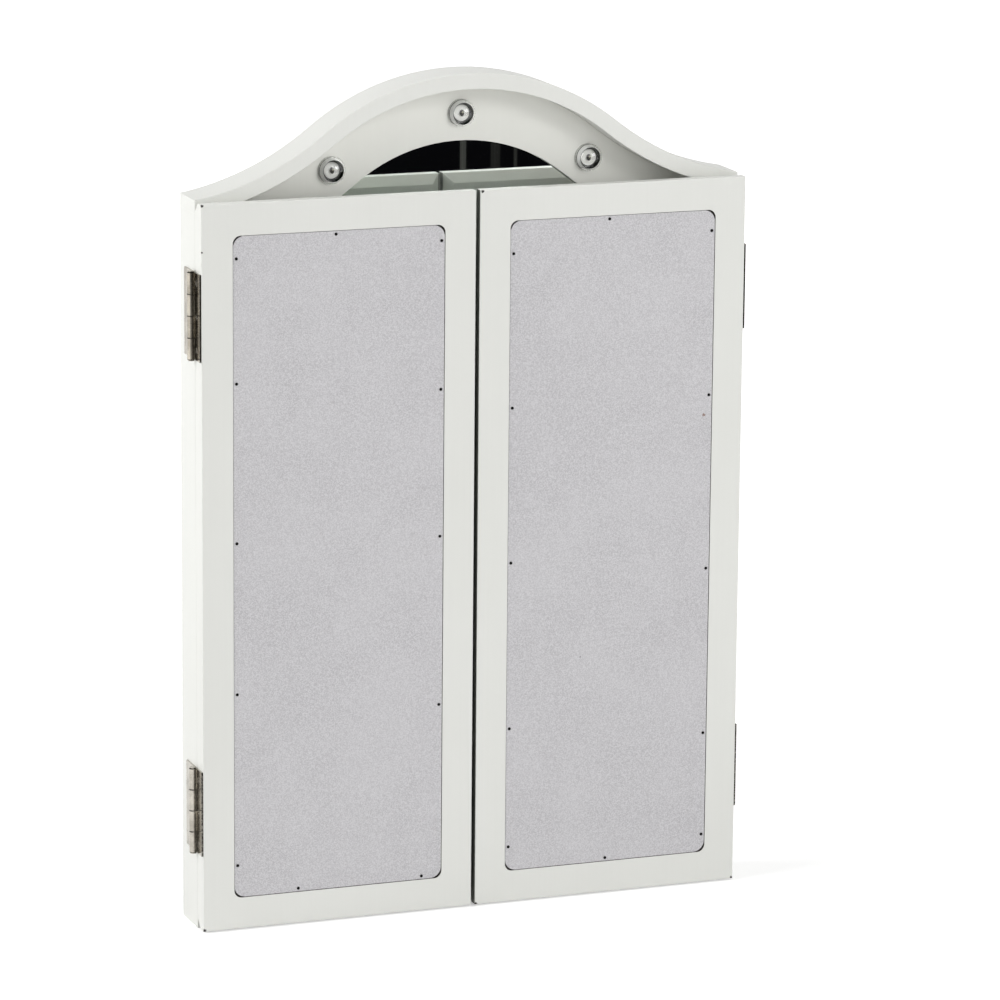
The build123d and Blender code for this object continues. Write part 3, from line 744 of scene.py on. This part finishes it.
# Lamps: under each dome a white cup with a dark lining whose tone is a painted reflection, a ridged
# disc, and a chip with its resin
def lamp_insides():
    cup = round_wall(CUP_PROFILE, CUP_WALL)
    lining = round_wall(LINING_PROFILE, LINING_WALL)
    ridges = [(RIDGE_RISE, RIDGE_HEIGHT), (RIDGE_FALL, -RIDGE_HEIGHT)] * DISC_RIDGES
    disc = turned_piece(DISC_RADIUS, DISC_BACK, DISC_THICKNESS, ridges + DISC_MIDDLE)
    chip = turned_piece(LED_RADIUS, LED_BACK, LED_HEIGHT, LED_TOP, sides=20)
    chip.scale = (1.0, 1.0, LED_STRETCH)
    deselect()
    bpy.ops.mesh.primitive_uv_sphere_add(segments=20, ring_count=10, radius=RESIN_RADIUS,
                                         location=RESIN_PLACE)
    drop = bpy.context.object
    parts = (("cup", cup, cup_white, "lamp_white"), ("lining", lining, lining_reflection, "lamp_white"),
             ("disc", disc, materials["led_board"], "led_board"), ("chip", chip, chip_black, "led_board"),
             ("resin", drop, resin, "led_board"))
    for kind, pattern, finish, slot in parts:
        choose(pattern)
        bpy.ops.object.transform_apply(location=True, rotation=True, scale=True)
        for name in lamp_names():
            low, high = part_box(name)
            shift = Vector(((low.x + high.x) / 2, high.y, (low.z + high.z) / 2))
            piece = finished(copied(pattern, shift), "lamp_%s_%s" % (kind, name[-2:]), finish, "case")
            if kind == "disc":
                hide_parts("led_discs")
        bpy.data.objects.remove(pattern)


# The silver coat: the glass's own back face, given a thin body just inside it, so that nothing
# that touches the glass from behind shows through
def silvering(node, way, body):
    sheet = frame["nodes"][node].copy()
    sheet.data = frame["nodes"][node].data.copy()
    sheet.parent = None
    for key in list(sheet.keys()):
        del sheet[key]
    bpy.context.collection.objects.link(sheet)
    low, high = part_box(node)
    face_y = high.y if way > 0 else low.y
    choose(sheet)
    bpy.ops.object.mode_set(mode="EDIT")
    bpy.ops.mesh.select_all(action="SELECT")
    bpy.ops.mesh.remove_doubles(threshold=WELD)
    bpy.ops.object.mode_set(mode="OBJECT")
    choose_faces(sheet, lambda face: abs(face.center.y - face_y) > LEVEL or abs(face.normal.y) < FACING)
    bpy.ops.mesh.delete(type="FACE")
    bpy.ops.mesh.select_all(action="SELECT")
    bpy.ops.mesh.dissolve_limited(angle_limit=FLAT_ANGLE)
    bpy.ops.transform.translate(value=(0, -way * SILVER_SET_IN, 0))
    bpy.ops.mesh.extrude_region_move(TRANSFORM_OT_translate={"value": (0, way * SILVER_THICKNESS, 0)})
    bpy.ops.mesh.select_all(action="SELECT")
    bpy.ops.mesh.normals_make_consistent(inside=False)
    bpy.ops.object.mode_set(mode="OBJECT")
    finished(sheet, node + "_silvering", silver, body)


# A standing or lying sheet for the studio, never part of the object
def studio_sheet(name, centre, width, height, turn, finish):
    deselect()
    bpy.ops.mesh.primitive_plane_add(size=1.0, location=centre, rotation=turn)
    sheet = bpy.context.object
    sheet.name = name
    sheet.scale = (width, height, 1.0)
    if not any(turn):
        bpy.ops.object.transform_apply(location=True, rotation=True, scale=True)
    sheet.data.materials.append(finish)
    return sheet


# One where a surface is seen by the camera, in a gloss or through glass, and nought elsewhere
def seen_directly(tree):
    path = add(tree, "ShaderNodeLightPath")
    seen = maths(tree, "ADD", path.outputs["Is Camera Ray"], path.outputs["Is Glossy Ray"])
    return maths(tree, "ADD", seen, path.outputs["Is Transmission Ray"], clamp=True)


# Floor paint that lights the object as a pale floor does and shows as white to the camera
def floor_finish():
    made, tree, shader, place = start_material("studio floor")
    tone = use(tree, TONE, Vector=place, Tone=FLOOR, Other_Tone=FLOOR_CLOUD, Cloud_Scale=2.0,
               Speckle_Scale=40.0, Speckle=0.1)
    feed(tree, shader.inputs["Base Color"], tone["Color"])
    shader.inputs["Roughness"].default_value = 0.9
    shader.inputs["Specular IOR Level"].default_value = 0.1
    shader.inputs["Emission Color"].default_value = PURE_WHITE
    away = add(tree, "ShaderNodeVectorMath", {"operation": "LENGTH"})
    feed(tree, away.inputs[0], place)
    glow = ranged(tree, away.outputs["Value"], GLOW_FROM, GLOW_FULL_AT, GLOW_NEAR, 1.0)
    feed(tree, shader.inputs["Emission Strength"], maths(tree, "MULTIPLY", seen_directly(tree), glow))
    return made


# Dark cloth for what stands in front of the mirror, which pales towards the floor
def dark_finish(name, tone, pale_below):
    made, tree, shader, place = start_material(name)
    cloudy = use(tree, TONE, Vector=place, Tone=tone, Other_Tone=tuple(v * 0.6 for v in tone),
                 Cloud_Scale=3.0, Speckle_Scale=60.0, Speckle=0.3)
    feed(tree, shader.inputs["Base Color"], (0, 0, 0))
    shader.inputs["Specular IOR Level"].default_value = 0.0
    up = add(tree, "ShaderNodeSeparateXYZ", Vector=place).outputs["Y"]
    pale = ranged(tree, up, SHEET_FOOT, pale_below, 1.0, 0.0)
    feed(tree, shader.inputs["Emission Color"], blended(tree, pale, cloudy["Color"], PALE_FOOT))
    shader.inputs["Emission Strength"].default_value = 1.0
    return made


def seen_in_glass_only(sheet):
    sheet.visible_camera = False
    sheet.visible_diffuse = False
    sheet.visible_shadow = False
    sheet.visible_volume_scatter = False


def studio():
    studio_sheet("floor", (0, 0, 0), FLOOR_SIZE, FLOOR_SIZE, (0, 0, 0), floor_finish())
    upright = (math.pi / 2, 0, 0)
    cloth = dark_finish("dark cloth", DARK_CLOTH, CLOTH_PALE_BELOW)
    seen_in_glass_only(studio_sheet("dark_cloth", CLOTH_PLACE, CLOTH_WIDTH, CLOTH_HEIGHT, upright, cloth))
    for number, (x, width, tone) in enumerate(SLATS):
        grey = dark_finish("grey slat %d" % number, (tone, tone, tone * 0.95), SLAT_PALE_BELOW)
        slat = studio_sheet("grey_slat_%d" % number, (x, SLAT_Y, SLAT_Z), width, SLAT_HEIGHT, upright, grey)
        seen_in_glass_only(slat)
    for name, place, size, power in SOFTBOXES:
        softbox(name, place, size, power)
    world = bpy.data.worlds.new("studio")
    bpy.context.scene.world = world
    world.use_nodes = True
    tree = world.node_tree
    sky = tree.nodes["Background"]
    sky.inputs["Color"].default_value = PURE_WHITE
    feed(tree, sky.inputs["Strength"], ranged(tree, seen_directly(tree), 0.0, 1.0, SKY_LIGHT, 1.0))


# A square soft light that points at the middle of the object
def softbox(name, place, size, power):
    data = bpy.data.lights.new(name, "AREA")
    data.size = size
    data.energy = power
    light = bpy.data.objects.new(name, data)
    light.location = place
    towards = Vector(LIGHT_AIM) - Vector(place)
    light.rotation_euler = towards.to_track_quat("-Z", "Y").to_euler()
    bpy.context.collection.objects.link(light)


def camera():
    data = bpy.data.cameras.new("camera")
    data.sensor_width = SENSOR_WIDTH
    data.lens = CAMERA_LENS
    view = bpy.data.objects.new("camera", data)
    turn = Euler((math.radians(90 - CAMERA_DOWN), 0, math.radians(-CAMERA_TURN))).to_matrix()
    roll = Matrix.Rotation(math.radians(CAMERA_ROLL), 3, "Z")
    view.rotation_euler = (turn @ roll).to_euler()
    view.location = CAMERA_PLACE
    bpy.context.collection.objects.link(view)
    bpy.context.scene.camera = view


camera()
dress_frame()
lamp_insides()
silvering("centre_mirror", 1, "case")
silvering("left_wing_glass", -1, "left_wing")
silvering("right_wing_glass", -1, "right_wing")
studio()
bpy.context.scene.view_settings.view_transform = "Standard"
